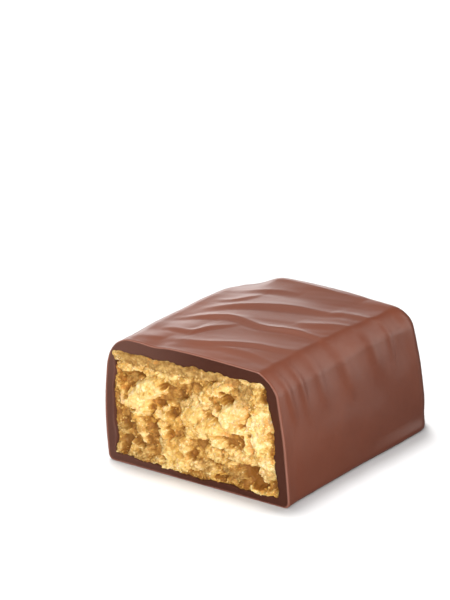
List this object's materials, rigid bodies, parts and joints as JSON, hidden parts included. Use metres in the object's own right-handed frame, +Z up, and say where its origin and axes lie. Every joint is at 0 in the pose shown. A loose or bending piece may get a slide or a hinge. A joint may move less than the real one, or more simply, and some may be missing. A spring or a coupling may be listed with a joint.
{
  "type": "glazed halva candy",
  "caption": "Cut length of a glazed halva candy: a rounded loaf in a thin chocolate coat, rippled on top, with its crumbly halva core showing at the flat cut end.",
  "frame": {"origin": "middle of the bounding box's footprint, on the surface that the candy stands on", "axes": "+Y from the cut face towards the rounded back end, +X across the candy to its right side as seen from the cut, +Z up from the flat underside"},
  "size_m": [0.0274, 0.0332, 0.0172],
  "materials": {
    "chocolate": "satin milk-brown chocolate coat with soft ripples",
    "halva": "dull golden-beige crumbly halva, torn at the cut"
  },
  "bodies": {
    "root": {"chocolate_glaze": "chocolate", "halva_filling": "halva"}
  },
  "joints": []
}
